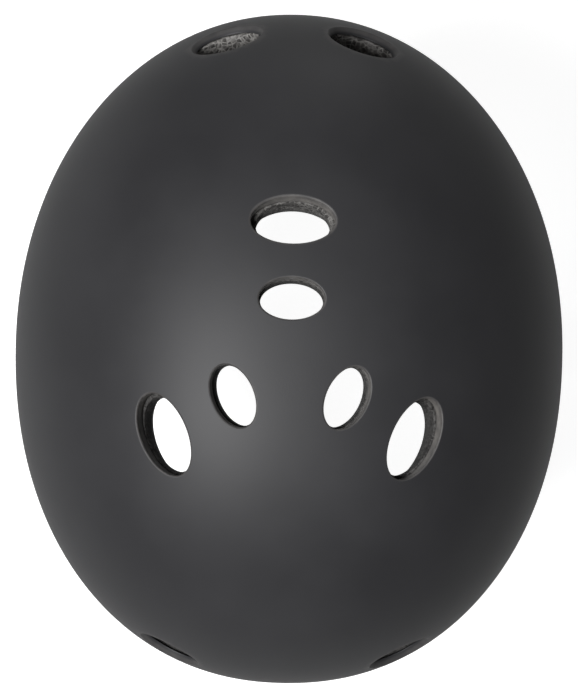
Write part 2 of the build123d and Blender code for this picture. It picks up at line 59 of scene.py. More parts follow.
def srgb(code):
    channels = [int(code[i:i + 2], 16) / 255 for i in (1, 3, 5)]
    return tuple(c / 12.92 if c <= 0.04045 else ((c + 0.055) / 1.055) ** 2.4 for c in channels) + (1.0,)


def even(inset):
    return (inset, inset, inset)  # side, ends, crown


def reachAt(y, ends):
    if y < 0:
        return form["frontSquareness"], form["frontReach"] - ends
    return form["rearSquareness"], form["rearReach"] - ends


def domePoint(down, theta, insets):
    side, ends, crown = insets
    power, reach = reachAt(math.sin(theta), ends)
    halfWidth, height = form["halfWidth"] - side, form["crownHeight"] - crown
    depth = form["skirtDepth"] - side
    plan = ((abs(math.cos(theta)) / halfWidth) ** power
            + (abs(math.sin(theta)) / reach) ** power) ** (-1 / power)
    if down <= math.pi / 2:
        bend = form["domeSquareness"]
        fit = (math.sin(down) ** bend + max(math.cos(down), 0) ** bend) ** (-1 / bend)
        out, up = math.sin(down) * fit, height * math.cos(down) * fit
    else:
        below = (down - math.pi / 2) * height / depth
        out, up = math.cos(below), -depth * math.sin(below)
    return Vector((plan * out * math.cos(theta), plan * out * math.sin(theta), up))


def planShare(x, y, insets):
    power, reach = reachAt(y, insets[1])
    return ((abs(x) / (form["halfWidth"] - insets[0])) ** power + (abs(y) / reach) ** power) ** (1 / power)


def domeLevel(point, insets):
    # above zero outside the dome, below zero inside it
    plan = planShare(point.x, point.y, insets)
    if point.z < 0:
        return math.hypot(plan, point.z / (form["skirtDepth"] - insets[0])) - 1
    bend = form["domeSquareness"]
    return (plan ** bend + (point.z / (form["crownHeight"] - insets[2])) ** bend) ** (1 / bend) - 1


def domeNormal(point, insets):
    step = 1e-5
    slopes = [domeLevel(point + Vector(axis) * step, insets) - domeLevel(point - Vector(axis) * step, insets)
              for axis in ((1, 0, 0), (0, 1, 0), (0, 0, 1))]
    return Vector(slopes).normalized()


def unroll(point, insets):
    # a point of the dome on a flat map: angle down from the crown along its bearing
    side, ends, crown = insets
    theta = math.atan2(point.y, point.x)
    height, depth = form["crownHeight"] - crown, form["skirtDepth"] - side
    if point.z >= 0:
        down = math.atan2(planShare(point.x, point.y, insets), point.z / height)
    else:
        down = math.pi / 2 + math.asin(min(1, -point.z / depth)) * depth / height
    return Vector((down * math.cos(theta), down * math.sin(theta)))


def bisect(level, low, high, steps=28):
    for step in range(steps):
        middle = (low + high) / 2
        if level(middle) > 0:
            low = middle
        else:
            high = middle
    return (low + high) / 2


def fallHeight(y):
    return form["browRim"] + fallSlope * (y - form["fallFront"])


rimCorners = [Vector(corner) for corner in (
    (-0.15, form["browRim"]), (form["fallFront"], form["browRim"]),
    (form["earFront"], fallHeight(form["earFront"])),
    (form["earArch"], fallHeight(form["earArch"]) + form["earRise"]),
    (form["earRear"], fallHeight(form["earRear"])),
    (form["fallRear"], form["napeRim"]), (0.15, form["napeRim"]))]


def rimHeight(y):
    # height of the rim line, seen from the side, its corners rounded
    for before, corner, after, radius in zip(rimCorners, rimCorners[1:], rimCorners[2:], form["rimRadii"]):
        first, second = (corner - before).normalized(), (after - corner).normalized()
        turn = first.angle_signed(second)
        reach = radius * math.tan(abs(turn) / 2)
        start, end = corner - first * reach, corner + second * reach
        if start.x < y < end.x:
            side = Vector((-first.y, first.x)) * (1 if first.cross(second) > 0 else -1)
            centre = start + side * radius
            sag = math.sqrt(radius ** 2 - (y - centre.x) ** 2)
            return centre.y - sag if side.y > 0 else centre.y + sag
    for before, after in zip(rimCorners, rimCorners[1:]):
        if before.x <= y <= after.x:
            share = (y - before.x) / (after.x - before.x)
            return before.y + share * (after.y - before.y)
    return form["napeRim"]


rimSteps = 480


def rimRing(insets, rise):
    ring = []
    for k in range(rimSteps):
        theta = 2 * math.pi * k / rimSteps

        def over(down):
            point = domePoint(down, theta, insets)
            return point.z - rimHeight(point.y) - rise
        ring.append(domePoint(bisect(over, 1.0, 2.9), theta, insets))
    return ring


# Ten oval vents. around and down: bearing and angle from the crown of the middle, bearing: of the long axis,
# leanAround and lean: the vent's own axis, ledges: how far the liner's opening stands in at ends and sides,
# collar: the shell turns in round the vent, and draw narrows that. Elsewhere the lip rolls in from the size
# that roll gives. A kind's share of painted shade, 1 where it gives none, darkens the liner's wall in the vent
# for the shade deep in it.
ventKinds = [
    {"around": -90.0, "down": 21.4, "long": 0.0325, "short": 0.0188, "bearing": 0.0,
     "leanAround": -90.0, "lean": 17.0, "paired": False, "ledges": (0.0022, 0.0005), "collar": True,
     "draw": 0.0003, "pinned": 0.6},
    {"around": -90.0, "down": 8.6, "long": 0.0248, "short": 0.0157, "bearing": 0.0,
     "leanAround": -90.0, "lean": 7.0, "paired": False, "ledges": (0.0005, 0.0005), "collar": True},
    {"around": 38.0, "down": 13.2, "long": 0.0248, "short": 0.0157, "bearing": 114.0,
     "leanAround": 0.0, "lean": 8.0, "paired": True, "ledges": (0.0005, 0.0005), "collar": True},
    {"around": 33.8, "down": 28.6, "long": 0.0325, "short": 0.0188, "bearing": 114.0,
     "leanAround": -5.0, "lean": 17.5, "paired": True, "ledges": (0.0015, 0.0005), "collar": True},
    {"around": -77.6, "down": 66.8, "long": 0.0295, "short": 0.020, "bearing": 17.5,
     "leanAround": -73.0, "lean": 62.0, "paired": True, "ledges": (0.001, 0.001), "collar": False,
     "roll": (0.0, 0.0022), "pinned": 0.0},
    {"around": 69.0, "down": 74.8, "long": 0.0275, "short": 0.020, "bearing": -28.0,
     "leanAround": 64.0, "lean": 76.0, "paired": True, "ledges": (-0.001, -0.001), "collar": False,
     "roll": (-0.0006, 0.0010)},
]
ringSteps = 72


def openingAt(centre, axis, across, halfLong, halfShort):
    across = (across - axis * across.dot(axis)).normalized()
    return {"centre": centre, "axis": axis, "across": across, "along": axis.cross(across),
            "halfLong": halfLong, "halfShort": halfShort}


vents = []
for kind in ventKinds:
    for hand in ((1, -1) if kind["paired"] else (1,)):
        middle = domePoint(math.radians(kind["down"]), math.radians(kind["around"]), even(0))
        lean, bearing, around = (math.radians(kind[key]) for key in ("lean", "bearing", "leanAround"))
        axis = Vector((hand * math.sin(lean) * math.cos(around), math.sin(lean) * math.sin(around),
                       math.cos(lean)))
        across = Vector((hand * math.cos(bearing), math.sin(bearing), 0))
        vent = openingAt(Vector((hand * middle.x, middle.y, middle.z)), axis, across,
                         kind["long"] / 2, kind["short"] / 2)
        vent.update(ledges=kind["ledges"], collar=kind["collar"], roll=kind.get("roll"),
                    draw=kind.get("draw", 0.0), pinned=kind.get("pinned", 1.0))
        vents.append(vent)


def openingPoint(opening, angle, grow, depth):
    growEnds, growSides = grow
    return (opening["centre"] - opening["axis"] * depth
            + opening["across"] * ((opening["halfLong"] + growEnds) * math.cos(angle))
            + opening["along"] * ((opening["halfShort"] + growSides) * math.sin(angle)))


def openingRing(opening, growth, insets):
    # ring round an opening where its wall, grown by growth at each depth, meets a dome
    ring = []
    for k in range(ringSteps):
        angle = 2 * math.pi * k / ringSteps
        depth = bisect(lambda d: domeLevel(openingPoint(opening, angle, growth(d), d), insets), -0.02, 0.06)
        ring.append(openingPoint(opening, angle, growth(depth), depth))
    return ring


def markPoints(piece, name, values):
    piece.data.attributes.new(name, "FLOAT", "POINT").data.foreach_set("value", values)


def addRing(points, ring):
    first = len(points)
    points.extend(ring)
    return list(range(first, len(points)))


def addBand(faces, one, other):
    count = len(one)
    faces.extend((one[k], one[(k + 1) % count], other[(k + 1) % count], other[k]) for k in range(count))


def addRings(points, faces, rings):
    # rings joined each to the next
    loops = [addRing(points, ring) for ring in rings]
    for one, other in zip(loops, loops[1:]):
        addBand(faces, one, other)
    return loops


def insideLoop(flat, loop):
    # even-odd test of many flat points against one closed loop
    inside = np.zeros(len(flat), bool)
    x, y = flat[:, 0], flat[:, 1]
    for (ax, ay), (bx, by) in zip(loop, np.roll(loop, -1, axis=0)):
        if ay != by:
            inside ^= ((ay > y) != (by > y)) & (x < (bx - ax) * (y - ay) / (by - ay) + ax)
    return inside


# metres of dome to a radian of the flat map, height of a row of even triangles, free strip along the borders
flatMap = {"metres": 0.118, "row": 0.866, "border": 0.55}


def fillDome(points, faces, rim, holes, insets, spacing):
    # even triangles over a dome between its rim and its openings, laid out on the flat map
    loops = [[unroll(points[i], insets) for i in loop] for loop in [rim] + holes]
    index = [i for loop in [rim] + holes for i in loop]
    flat, edges = [], []
    for loop in loops:
        edges += [(len(flat) + k, len(flat) + (k + 1) % len(loop)) for k in range(len(loop))]
        flat += loop
    border = kdtree.KDTree(len(flat))
    for k, place in enumerate(flat):
        border.insert((place.x, place.y, 0), k)
    border.balance()
    pitch = spacing / flatMap["metres"]
    reach = max(place.length for place in flat)
    rows = int(reach / pitch) + 1
    grid = np.array([((u + 0.5 * (v % 2)) * pitch, v * pitch * flatMap["row"])
                     for v in range(int(-rows * 1.2), int(rows * 1.2)) for u in range(-rows, rows)])
    outlines = [np.array(loop) for loop in loops]
    keep = insideLoop(grid, outlines[0])
    for outline in outlines[1:]:
        keep &= ~insideLoop(grid, outline)
    for u, v in grid[keep]:
        if border.find((u, v, 0))[2] > flatMap["border"] * pitch:
            flat.append(Vector((u, v)))
            index.append(len(points))
            points.append(domePoint(math.hypot(u, v), math.atan2(v, u), insets))
    result = geometry.delaunay_2d_cdt(flat, edges, [], 0, 1e-8)
    where = [origins[0] for origins in result[3]]
    middles = np.array([sum((result[0][k] for k in face), Vector((0, 0))) / len(face) for face in result[2]])
    keep = insideLoop(middles, outlines[0])
    for outline in outlines[1:]:
        keep &= ~insideLoop(middles, outline)
    faces.extend(tuple(index[where[k]] for k in face) for face, kept in zip(result[2], keep) if kept)


def addObject(name, data):
    thing = bpy.data.objects.new(name, data)
    bpy.context.scene.collection.objects.link(thing)
    return thing


def makePiece(name, points, faces, material, marks=()):
    # marks: for each face, the place of its corners across and along the cloth
    mesh = bpy.data.meshes.new(name)
    mesh.from_pydata([tuple(point) for point in points], [], faces)
    if marks:
        layer = mesh.uv_layers.new(name="thread")
        for face, corners in zip(mesh.polygons, marks):
            for loop, mark in zip(face.loop_indices, corners):
                layer.data[loop].uv = mark
    mesh.materials.append(material)
    shape = bmesh.new()
    shape.from_mesh(mesh)
    bmesh.ops.recalc_face_normals(shape, faces=shape.faces)
    for face in shape.faces:
        face.smooth = True
    shape.to_mesh(mesh)
    shape.free()
    piece = addObject(name, mesh)
    return piece


# A pattern's scale is its patches to a metre: 1 / 0.0018 draws beads of 1.8 mm, and 260 scuffs of about 4 mm
def addNode(tree, kind, inputs=None, stops=(), **settings):
    # one node with its settings and links: a node given as an input is linked from its first open output
    node = tree.nodes.new("ShaderNode" + kind)
    for key, value in settings.items():
        setattr(node, key, value)
    if stops:
        elements = node.color_ramp.elements
        while len(elements) < len(stops):
            elements.new(0.5)
        for element, (position, code) in zip(elements, stops):
            element.position, element.color = position, srgb(code)
    for key, value in (inputs or {}).items():
        if isinstance(value, bpy.types.Node):
            value = next(socket for socket in value.outputs if socket.enabled)
        if isinstance(value, bpy.types.NodeSocket):
            tree.links.new(value, node.inputs[key])
        else:
            node.inputs[key].default_value = value
    return node


def newMaterial(name, places="Object"):
    material = bpy.data.materials.new(name)
    material.use_nodes = True
    tree = material.node_tree
    tree.nodes.clear()
    return material, tree, addNode(tree, "TexCoord").outputs[places]


# Moulded ABS shell under soft-touch paint: even, dark and dry to the eye, with a faint grain. The paint is
# rubbed at the edges and thin down in the collars, where the bare plastic shows paler
shellPaint = {"deep": "#2b2b2d", "light": "#313133", "bare": "#73706d", "grain": 0.0005, "cloud": 0.045,
              "scuffs": 260}


def makeShellPaint():
    material, tree, place = newMaterial("abs_moulded_soft_touch_paint")
    cloud = addNode(tree, "TexNoise", {"Vector": place, "Scale": 1 / shellPaint["cloud"], "Detail": 3})
    tone = addNode(tree, "ValToRGB", {"Fac": cloud}, [(0.35, shellPaint["deep"]), (0.7, shellPaint["light"])])
    bare = addNode(tree, "Attribute", attribute_name="bare").outputs["Fac"]
    scuff = addNode(tree, "TexNoise", {"Vector": place, "Scale": shellPaint["scuffs"], "Detail": 2})
    worn = addNode(tree, "Math", {0: bare, 1: scuff}, operation="MULTIPLY")
    colour = addNode(tree, "Mix", {"Factor": worn, "A": tone, "B": srgb(shellPaint["bare"])}, data_type="RGBA")
    # the paint's real grain of 0.1 mm is too fine to show, so it is drawn at 0.5 mm
    grain = addNode(tree, "TexNoise", {"Vector": place, "Scale": 1 / shellPaint["grain"], "Detail": 2})
    rough = addNode(tree, "MapRange", {"Value": cloud, "To Min": 0.48, "To Max": 0.55})
    bump = addNode(tree, "Bump", {"Strength": 0.10, "Distance": 0.0002, "Height": grain})
    shader = addNode(tree, "BsdfPrincipled", {"Base Color": colour, "Roughness": rough, "Normal": bump,
                                              "Specular IOR Level": 0.3})
    addNode(tree, "OutputMaterial", {"Surface": shader})
    return material


# Expanded polystyrene, steam moulded: dark beads pressed together, each a slightly other grey, dry and matt
# the lightest colour is a painted highlight along the beads' edges
# the near-black colour and its share are painted shade on the walls of the vents
beadFoam = {"bead": 0.0018, "uneven": 0.85, "warp": 0.0006, "dark": "#353332", "middle": "#4b4947",
            "pale": "#706e6c", "edgeGlint": "#9c9a97", "pinned": "#171616", "pinnedShare": 0.82}


def makeBeadFoam():
    material, tree, place = newMaterial("eps_steam_moulded_beads")
    warp = addNode(tree, "TexNoise", {"Vector": place, "Scale": 300, "Detail": 1}).outputs["Color"]
    shift = addNode(tree, "VectorMath", {0: warp, 1: (beadFoam["warp"],) * 3}, operation="MULTIPLY")
    moved = addNode(tree, "VectorMath", {0: place, 1: shift}, operation="ADD")
    cells = {"Vector": moved, "Scale": 1 / beadFoam["bead"], "Randomness": beadFoam["uneven"]}
    beads = addNode(tree, "TexVoronoi", cells).outputs["Color"]
    seams = addNode(tree, "TexVoronoi", cells, feature="DISTANCE_TO_EDGE")
    one = addNode(tree, "SeparateColor", {"Color": beads})
    tone = addNode(tree, "ValToRGB", {"Fac": one}, [
        (0.0, beadFoam["dark"]), (0.55, beadFoam["middle"]), (0.97, beadFoam["pale"])])
    # painted highlight: pale lines along the beads' edges, where light catches them, that come and go in
    # patches
    edge = addNode(tree, "MapRange", {"Value": seams, "From Max": 0.2, "To Min": 1.0, "To Max": 0.0})
    patches = addNode(tree, "TexNoise", {"Vector": place, "Scale": 330, "Detail": 2})
    shown = addNode(tree, "MapRange", {
        "Value": patches, "From Min": 0.36, "From Max": 0.62, "To Min": 0.1, "To Max": 1.0})
    glintLines = addNode(tree, "Math", {0: edge, 1: shown}, operation="MULTIPLY")
    colour = addNode(tree, "Mix", {"Factor": glintLines, "A": tone, "B": srgb(beadFoam["edgeGlint"])}, data_type="RGBA")
    # painted shade: the walls of all but the brow vents are darkened towards near black, standing for the shade
    # deep in the vents
    pinned = addNode(tree, "Attribute", attribute_name="pinned").outputs["Fac"]
    share = addNode(tree, "Math", {0: pinned, 1: beadFoam["pinnedShare"]}, operation="MULTIPLY")
    withPaintedShade = addNode(tree, "Mix", {"Factor": share, "A": colour, "B": srgb(beadFoam["pinned"])},
                      data_type="RGBA")
    dome = addNode(tree, "MapRange", {"Value": seams, "From Max": 0.4}, interpolation_type="SMOOTHSTEP")
    bump = addNode(tree, "Bump", {"Strength": 0.55, "Distance": 0.0005, "Height": dome})
    shader = addNode(tree, "BsdfPrincipled", {"Base Color": withPaintedShade, "Normal": bump, "Roughness": 0.72})
    addNode(tree, "OutputMaterial", {"Surface": shader})
    return material


# Polyester webbing, shuttle woven: a rib across the strap every 1.3 mm, dull with a slight silk along
# the threads
weave = {"warp": 0.0019, "rib": 0.0013, "groove": 0.00016, "fibre": (9000, 1500, 1), "dark": "#131313",
         "light": "#2a2a2b"}


def makeWebbing():
    material, tree, place = newMaterial("polyester_woven_webbing", "UV")
    # the loops lie like bricks, half a loop over in each second row
    loops = addNode(tree, "TexBrick", {
        "Vector": place, "Scale": 1.0, "Brick Width": weave["warp"], "Row Height": weave["rib"],
        "Mortar Size": weave["groove"], "Mortar Smooth": 1.0, "Bias": 0.0, "Color1": (1, 1, 1, 1),
        "Color2": (0.8, 0.8, 0.8, 1), "Mortar": (0, 0, 0, 1)}, offset=0.5, offset_frequency=2)
    stretched = addNode(tree, "VectorMath", {0: place, 1: weave["fibre"]}, operation="MULTIPLY")
    fibre = addNode(tree, "TexNoise", {"Vector": stretched, "Scale": 1.0, "Detail": 2})
    lift = addNode(tree, "Math", {0: fibre, 1: 0.35, 2: loops}, operation="MULTIPLY_ADD")
    tone = addNode(tree, "ValToRGB", {"Fac": lift}, [(0.1, weave["dark"]), (0.95, weave["light"])])
    bump = addNode(tree, "Bump", {"Strength": 0.8, "Distance": 0.00035, "Height": lift})
    shader = addNode(tree, "BsdfPrincipled", {"Base Color": tone, "Normal": bump, "Roughness": 0.62,
                                              "Sheen Weight": 0.25, "Sheen Roughness": 0.4})
    addNode(tree, "OutputMaterial", {"Surface": shader})
    return material


# Polyester spacer cloth, warp knitted and bonded to foam: soft and dull, with small open cells
knit = {"cell": 0.0016, "fuzz": 1800, "clouds": 45, "dark": "#272728", "light": "#4b4b4d", "hem": "#202021"}


def makePadCloth():
    material, tree, place = newMaterial("polyester_knitted_pad_cloth")
    cells = addNode(tree, "TexVoronoi", {"Vector": place, "Scale": 1 / knit["cell"], "Randomness": 0.25})
    tone = addNode(tree, "ValToRGB", {"Fac": cells}, [(0.12, knit["dark"]), (0.5, knit["light"])])
    broad = addNode(tree, "TexNoise", {"Vector": place, "Scale": knit["clouds"], "Detail": 2})
    shade = addNode(tree, "MapRange", {"Value": broad, "To Min": 0.82, "To Max": 1.12})
    shaded = addNode(tree, "VectorMath", {0: tone, "Scale": shade}, operation="SCALE")
    # the hem is welded flat under heat, so its knit is pressed out and darker
    hem = addNode(tree, "Attribute", attribute_name="hem").outputs["Fac"]
    colour = addNode(tree, "Mix", {"Factor": hem, "A": shaded, "B": srgb(knit["hem"])}, data_type="RGBA")
    relief = addNode(tree, "MapRange", {"Value": hem, "To Min": 1.0, "To Max": 0.25})
    fuzz = addNode(tree, "TexNoise", {"Vector": place, "Scale": knit["fuzz"], "Detail": 2})
    knitHeight = addNode(tree, "Math", {0: fuzz, 1: 0.3, 2: cells}, operation="MULTIPLY_ADD")
    height = addNode(tree, "Math", {0: knitHeight, 1: relief}, operation="MULTIPLY")
    bump = addNode(tree, "Bump", {"Strength": 0.6, "Distance": 0.0003, "Height": height})
    shader = addNode(tree, "BsdfPrincipled", {"Base Color": colour, "Normal": bump, "Roughness": 0.85,
                                              "Sheen Weight": 0.4, "Sheen Roughness": 0.5})
    addNode(tree, "OutputMaterial", {"Surface": shader})
    return material


# Polyester sewing thread, twisted: mid grey, a soft shine along the twist
def makeThread():
    material, tree, place = newMaterial("polyester_twisted_thread")
    strands = addNode(tree, "TexNoise", {"Vector": place, "Scale": 2600, "Detail": 2})
    tone = addNode(tree, "ValToRGB", {"Fac": strands}, [(0.35, "#4b4b4d"), (0.65, "#79797b")])
    bump = addNode(tree, "Bump", {"Strength": 0.4, "Distance": 0.0001, "Height": strands})
    shader = addNode(tree, "BsdfPrincipled", {"Base Color": tone, "Normal": bump, "Roughness": 0.6})
    addNode(tree, "OutputMaterial", {"Surface": shader})
    return material


# Acetal, injection moulded against a spark-eroded tool: near black, low shine broken by a fine even grain
acetal = {"deep": "#101011", "light": "#191919", "grain": 0.0004, "clouds": 90}


def makeAcetal():
    material, tree, place = newMaterial("acetal_moulded_fine_grain")
    broad = addNode(tree, "TexNoise", {"Vector": place, "Scale": acetal["clouds"], "Detail": 2})
    tone = addNode(tree, "ValToRGB", {"Fac": broad}, [(0.3, acetal["deep"]), (0.7, acetal["light"])])
    rough = addNode(tree, "MapRange", {"Value": broad, "To Min": 0.32, "To Max": 0.44})
    grain = addNode(tree, "TexNoise", {"Vector": place, "Scale": 1 / acetal["grain"], "Detail": 2})
    bump = addNode(tree, "Bump", {"Strength": 0.25, "Distance": 0.0001, "Height": grain})
    shader = addNode(tree, "BsdfPrincipled", {"Base Color": tone, "Roughness": rough, "Normal": bump})
    addNode(tree, "OutputMaterial", {"Surface": shader})
    return material


# Steel rivet, cold headed and enamelled black: smooth thin coat with a soft highlight
def makeEnamel():
    material, tree, place = newMaterial("steel_rivet_black_enamel")
    chips = addNode(tree, "TexNoise", {"Vector": place, "Scale": 420, "Detail": 3})
    tone = addNode(tree, "ValToRGB", {"Fac": chips}, [(0.4, "#0e0e0f"), (0.72, "#1a1a1b")])
    rough = addNode(tree, "MapRange", {"Value": chips, "To Min": 0.24, "To Max": 0.4})
    shader = addNode(tree, "BsdfPrincipled", {"Base Color": tone, "Roughness": rough, "Coat Weight": 0.4,
                                              "Coat Roughness": 0.2})
    addNode(tree, "OutputMaterial", {"Surface": shader})
    return material


# Steel washer, blanked and nickel plated: pale metal with fine turning marks
def makeNickel():
    material, tree, place = newMaterial("steel_washer_nickel_plated")
    marks = addNode(tree, "TexNoise", {"Vector": place, "Scale": 900, "Detail": 3})
    tone = addNode(tree, "ValToRGB", {"Fac": marks}, [(0.3, "#a8a59c"), (0.7, "#c4c1b8")])
    rough = addNode(tree, "MapRange", {"Value": marks, "To Min": 0.28, "To Max": 0.42})
    shader = addNode(tree, "BsdfPrincipled", {"Base Color": tone, "Roughness": rough, "Metallic": 1.0})
    addNode(tree, "OutputMaterial", {"Surface": shader})
    return material


# Nylon hook tape, woven with stiff loops cut open: dull, with rows of tiny hooks 1.5 mm apart
def makeHookTape():
    material, tree, place = newMaterial("nylon_woven_hook_tape")
    hooks = addNode(tree, "TexVoronoi", {"Vector": place, "Scale": 1 / 0.0015, "Randomness": 0.15})
    tone = addNode(tree, "ValToRGB", {"Fac": hooks}, [(0.15, "#3a3a3c"), (0.5, "#141415")])
    bump = addNode(tree, "Bump", {"Strength": 0.9, "Distance": 0.0004, "Height": hooks}, invert=True)
    shader = addNode(tree, "BsdfPrincipled", {"Base Color": tone, "Normal": bump, "Roughness": 0.55})
    addNode(tree, "OutputMaterial", {"Surface": shader})
    return material


shellFinish, foamFinish, webbingFinish = makeShellPaint(), makeBeadFoam(), makeWebbing()
padFinish, acetalFinish, enamelFinish = makePadCloth(), makeAcetal(), makeEnamel()
nickelFinish, hookFinish, threadFinish = makeNickel(), makeHookTape(), makeThread()
print("stage: materials made")


# Outer shell: one skin with rounded lips, a collar turned in round each upper vent, a rolled lip round the
# others, and bores for the rivets
# bevel: inset and narrowing down the lip of a vent without a collar, wear: (inset, bare) down a collar
shellSize = {"wall": 0.0026, "lipRadius": 0.0008, "collarWall": 0.0024, "collarDepth": 0.0065,
             "footRadius": 0.0006, "rootRadius": 0.0008, "edgeRadius": 0.0009, "boreRadius": 0.0025,
             "spacing": 0.0027, "innerSpacing": 0.0045, "wear": [(0.0024, 1.5), (0.0042, 1.7)],
             "collarBack": 0.0046,
             "bevel": [(0, 0), (0.00006, 0.0002), (0.00022, 0.0004), (0.0006, 0.00075), (0.0012, 0.00125),
                       (0.0019, 0.0018), (0.0023, 0.00205), (0.0025, 0.0021), (0.0026, 0.0018)]}
strapSize = {"width": 0.019, "thickness": 0.0014, "layerGap": 0.0001, "frontExit": -0.050, "rearExit": 0.044,
             "hingeDrop": 0.0018, "hingeGap": 0.0003, "rivetRise": 0.017, "tabHalf": 0.0095, "tabGap": 0.0012,
             "pocketMargin": 0.001, "pocketRoom": 0.0031, "tuck": 0.012, "entryOffset": 0.0105,
             "shellGap": 0.0002, "turnAbove": 0.0028, "turnBelow": 0.0032, "wave": 0.0003, "waveTurn": 95}
dividerTop = -0.098


def sideReach(y, z, inset):
    power, reach = reachAt(y, inset)
    if z >= 0:
        bend = form["domeSquareness"]
        out = (1 - (z / (form["crownHeight"] - inset)) ** bend) ** (1 / bend)
    else:
        out = math.sqrt(1 - (z / (form["skirtDepth"] - inset)) ** 2)
    return (form["halfWidth"] - inset) * (out ** power - (abs(y) / reach) ** power) ** (1 / power)


def strapRun(exitY, entryY, layer):
    # the straight run of one strap on the left side, before its place across the helmet is known
    slope = Vector((0, 1, fallSlope)).normalized()
    exitPoint = Vector((0, exitY, fallHeight(exitY) - strapSize["hingeDrop"]))
    shift = layer * (strapSize["thickness"] + strapSize["layerGap"]) / 2
    entry = Vector((shift, entryY, dividerTop))
    along = (entry - exitPoint).normalized()
    halfCut = strapSize["width"] / 2 / along.cross(slope).length
    outerY = exitY + halfCut * (1 if exitY > 0 else -1)
    room = sideReach(outerY, exitPoint.z, shellSize["wall"])
    room -= strapSize["shellGap"] + strapSize["thickness"] / 2
    return {"slope": slope, "exit": exitPoint, "along": along, "halfCut": halfCut, "room": room,
            "length": (entry - exitPoint).length + strapSize["tuck"]}


strapRuns = {"front": strapRun(strapSize["frontExit"], -strapSize["entryOffset"], 1),
             "rear": strapRun(strapSize["rearExit"], strapSize["entryOffset"], -1)}
hingeX = min(run["room"] for run in strapRuns.values())
for run in strapRuns.values():
    run["exit"].x = hingeX
    foot = run["exit"] - run["along"] * strapSize["rivetRise"]
    run["seat"] = Vector((sideReach(foot.y, foot.z, 0), foot.y, foot.z))
    run["normal"] = domeNormal(run["seat"], even(0))
    normal, along, slope = run["normal"], run["along"], run["slope"]
    run["flatAlong"] = (along - normal * along.dot(normal)).normalized()
    run["level"] = (slope - normal * slope.dot(normal)).normalized()
    run["back"] = run["seat"] - normal * (shellSize["wall"] + strapSize["tabGap"] + strapSize["thickness"] / 2)
print("stage: strap places", round(hingeX, 5))


def mirrored(point):
    return Vector((-point.x, point.y, point.z))


bores = []
for run in strapRuns.values():
    for onSide in (Vector, mirrored):
        seat, normal, level = (onSide(run[key]) for key in ("seat", "normal", "level"))
        bores.append(openingAt(seat, normal, level, shellSize["boreRadius"], shellSize["boreRadius"]))


def lipProfile(vent):
    # (inset, growth at ends and sides, bare) from the lip on the outer face, down any collar, to the inner face
    size, quarter = shellSize, [math.radians(15 * k) for k in range(7)]
    foot, root, lip, draw = size["footRadius"], size["rootRadius"], size["lipRadius"], vent["draw"]
    depth, wall, thick = size["collarDepth"], size["collarWall"], size["wall"]
    if not vent["collar"]:
        ends, sides = vent["roll"]
        return [(inset, (ends - narrow, sides - narrow), 0.35 if inset < thick / 2 else 0)
                for inset, narrow in size["bevel"]]
    rings = [(lip * (1 - math.cos(a)), lip * (1 - math.sin(a)) - draw * math.sin(a), 0.9 * math.sin(a))
             for a in quarter]
    rings += [(inset, -draw, bare) for inset, bare in size["wear"]]
    rings += [(depth - foot + foot * math.sin(a), foot * (1 - math.cos(a)) - draw, 1.3) for a in quarter[::2]]
    rings += [(depth - foot + foot * math.cos(a), wall - foot + foot * math.sin(a), 0) for a in quarter[::2]]
    rings += [(size["collarBack"], wall, 0)]
    rings += [(thick + root * (1 - math.sin(a)), wall + root * (1 - math.cos(a)), 0) for a in quarter[::2]]
    return [(inset, (grow, grow), wear) for inset, grow, wear in rings]


def makeShell():
    points, faces, bare, outerLoops, innerLoops = [], [], {}, [], []
    edge, wall = shellSize["edgeRadius"], shellSize["wall"]
    for opening in vents + bores:
        profile = lipProfile(opening) if "collar" in opening else [(0, (0, 0), 0), (wall, (0, 0), 0)]
        loops = addRings(points, faces, [openingRing(opening, lambda depth: grow, even(inset))
                                         for inset, grow, wear in profile])
        for loop, (inset, grow, wear) in zip(loops, profile):
            bare.update(dict.fromkeys(loop, wear))
        outerLoops.append(loops[0])
        innerLoops.append(loops[-1])
    rimProfile = [(edge * (1 - math.cos(a)), edge * (1 - math.sin(a)), 0.4 * math.sin(2 * a))
                  for a in (math.radians(15 * k) for k in range(7))]
    # the rim's inner edge is only rounded by 0.4 mm
    rimProfile += [(wall - 0.0004, 0, 0), (wall - 0.0001, 0.0001, 0), (wall, 0.0004, 0)]
    rims = addRings(points, faces, [rimRing(even(inset), rise) for inset, rise, wear in rimProfile])
    for loop, (inset, rise, wear) in zip(rims, rimProfile):
        bare.update(dict.fromkeys(loop, wear))
    outerStart = len(points)
    fillDome(points, faces, rims[0], outerLoops, even(0), shellSize["spacing"])
    outerEnd = len(points)
    fillDome(points, faces, rims[-1], innerLoops, even(wall), shellSize["innerSpacing"])
    shell = makePiece("shell_skin", points, faces, shellFinish)
    onOuter = set(range(outerStart, outerEnd)) | set(rims[0]) | {i for loop in outerLoops for i in loop}
    shell.data.normals_split_custom_set_from_vertices(
        [domeNormal(point, even(0)) if i in onOuter else Vector((0, 0, 0)) for i, point in enumerate(points)])
    markPoints(shell, "bare", [bare.get(i, 0.0) for i in range(len(points))])
    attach(shell, "helmet")
    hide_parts("outer_shell")


makeShell()
print("stage: shell made")


# Foam liner: bead foam behind the shell, open under each vent, flaring towards the head, with rounded edges
# the last two numbers give how far round each vent the painted shade on its wall reaches, and how it fades
linerSize = {"fit": 0.0002, "side": 0.022, "ends": 0.024, "crown": 0.022, "rimRise": 0.004,
             "straight": 0.015, "flare": 0.006, "flareEnd": 0.040, "ledgeRadius": 0.0008,
             "mouthRadius": 0.0018, "outerEdge": 0.0008, "innerEdge": 0.0030, "spacing": 0.0034,
             "outerSpacing": 0.006, "pinned": 0.003, "pinnedFade": 0.12}


def linerInsets(share, back=0.0):
    # insets of a layer of the liner, from its outer face at 0 to its head side at 1
    base = shellSize["wall"] + linerSize["fit"] - back
    return tuple(base + share * linerSize[part] for part in ("side", "ends", "crown"))


